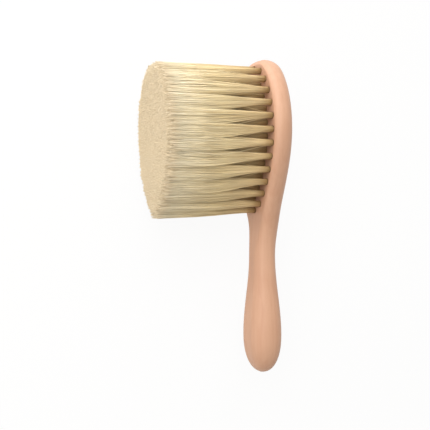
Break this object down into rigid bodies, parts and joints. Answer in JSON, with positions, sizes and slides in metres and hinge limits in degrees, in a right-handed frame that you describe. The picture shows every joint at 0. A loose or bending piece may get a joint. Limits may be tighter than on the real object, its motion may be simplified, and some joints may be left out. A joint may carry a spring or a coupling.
{
  "type": "neck duster brush",
  "caption": "One-piece wooden paddle brush with an oval head of long soft bristle tufts, for dusting cut hair off the neck.",
  "frame": {"origin": "centre of the bounding box in X and Y, at its lowest point in Z: the lower edge of the head", "axes": "+X along the brush from the head to the end of the handle, -Y the way the bristles point, +Z across the width; the brush lies on its side"},
  "size_m": [0.19, 0.0814, 0.056],
  "materials": {
    "wood": "fine sanded beech with a thin satin lacquer",
    "bristle": "fine ivory nylon filaments, trimmed flat",
    "anchor_wire": "flat galvanised wire"
  },
  "bodies": {
    "root": {"fourth_tuft_01": "bristle", "fourth_tuft_02": "bristle", "fourth_tuft_03": "bristle", "fourth_tuft_anchors": "anchor_wire", "outer_tuft_01": "bristle", "outer_tuft_02": "bristle", "outer_tuft_03": "bristle", "outer_tuft_04": "bristle", "outer_tuft_05": "bristle", "outer_tuft_06": "bristle", "outer_tuft_07": "bristle", "outer_tuft_08": "bristle", "outer_tuft_09": "bristle", "outer_tuft_10": "bristle", "outer_tuft_11": "bristle", "outer_tuft_12": "bristle", "outer_tuft_13": "bristle", "outer_tuft_14": "bristle", "outer_tuft_anchors": "anchor_wire", "second_tuft_01": "bristle", "second_tuft_02": "bristle", "second_tuft_03": "bristle", "second_tuft_04": "bristle", "second_tuft_05": "bristle", "second_tuft_06": "bristle", "second_tuft_07": "bristle", "second_tuft_08": "bristle", "second_tuft_09": "bristle", "second_tuft_10": "bristle", "second_tuft_11": "bristle", "second_tuft_anchors": "anchor_wire", "third_tuft_01": "bristle", "third_tuft_02": "bristle", "third_tuft_03": "bristle", "third_tuft_04": "bristle", "third_tuft_05": "bristle", "third_tuft_06": "bristle", "third_tuft_07": "bristle", "third_tuft_08": "bristle", "third_tuft_anchors": "anchor_wire", "wooden_body": "wood"}
  },
  "joints": []
}
